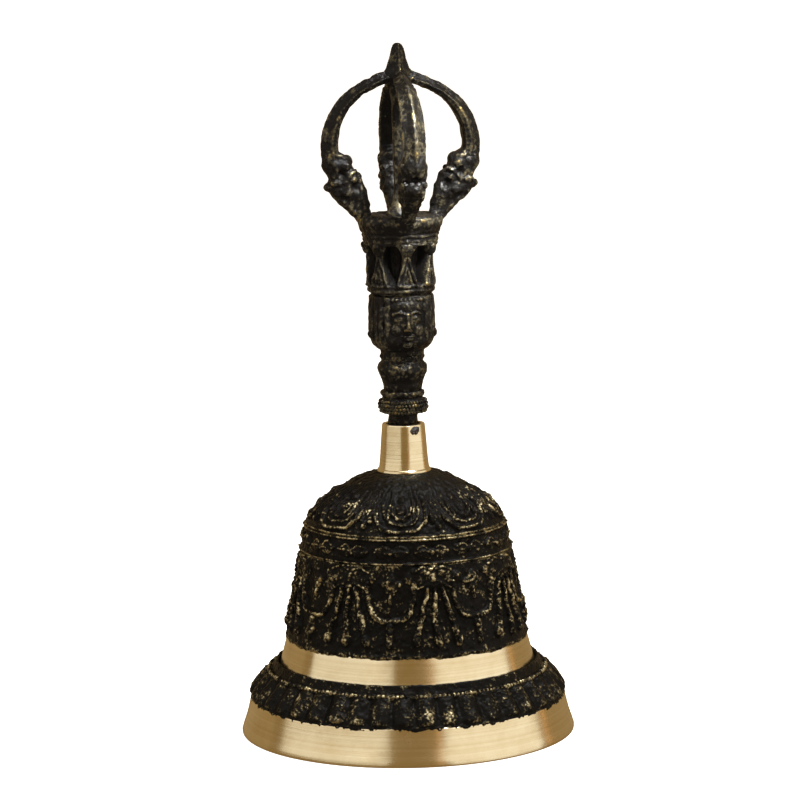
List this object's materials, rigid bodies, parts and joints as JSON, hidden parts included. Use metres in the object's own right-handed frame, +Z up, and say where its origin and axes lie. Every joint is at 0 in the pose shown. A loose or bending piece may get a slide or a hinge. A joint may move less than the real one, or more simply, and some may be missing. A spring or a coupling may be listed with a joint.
{
  "type": "hand bell",
  "caption": "Brass ritual hand bell with a relief-cast skirt, turned lip, half-vajra cage handle with a small head, and a clapper on a swivel.",
  "frame": {"origin": "centre of the bell's mouth, in the plane that it stands on", "axes": "+Z up along the bell's axis, -Y towards the side that the handle's face looks to, +X to that side's right as seen from the front"},
  "size_m": [0.08, 0.08, 0.165],
  "materials": {
    "cast_brass": "cast, with a near-black patina rubbed back to gold on the relief; lip and waist turned bright",
    "turned_brass": "turned bright, fine tool lines",
    "black_bronze": "rough cast, near-black patina, slightly glossy, rubbed on the high places",
    "iron": "forged and filed, dull",
    "ball_brass": "turned and dulled"
  },
  "bodies": {
    "bell": {"bell_shell": "cast_brass", "neck_socket": "turned_brass", "cross_pin": "iron", "handle_foot": "black_bronze", "handle_knot": "black_bronze", "head_casting": "black_bronze", "leaf_crown": "black_bronze", "lotus_seat": "black_bronze", "core_rod": "iron", "prong_front": "black_bronze", "prong_right": "black_bronze", "prong_back": "black_bronze", "prong_left": "black_bronze", "central_prong": "black_bronze"},
    "swivel": {"swivel_eye": "iron"},
    "clapper": {"clapper_rod": "iron", "clapper_ball": "ball_brass"}
  },
  "joints": [
    {"name": "clapper_swivel", "type": "hinge", "parent": "bell", "child": "swivel", "pos_m": [0, 0, 0.0575], "axis": [0, 0, 1], "continuous": true},
    {"name": "clapper_swing", "type": "hinge", "parent": "swivel", "child": "clapper", "pos_m": [0, 0, 0.0499], "axis": [1, 0, 0], "range_deg": [-33, 33]}
  ]
}
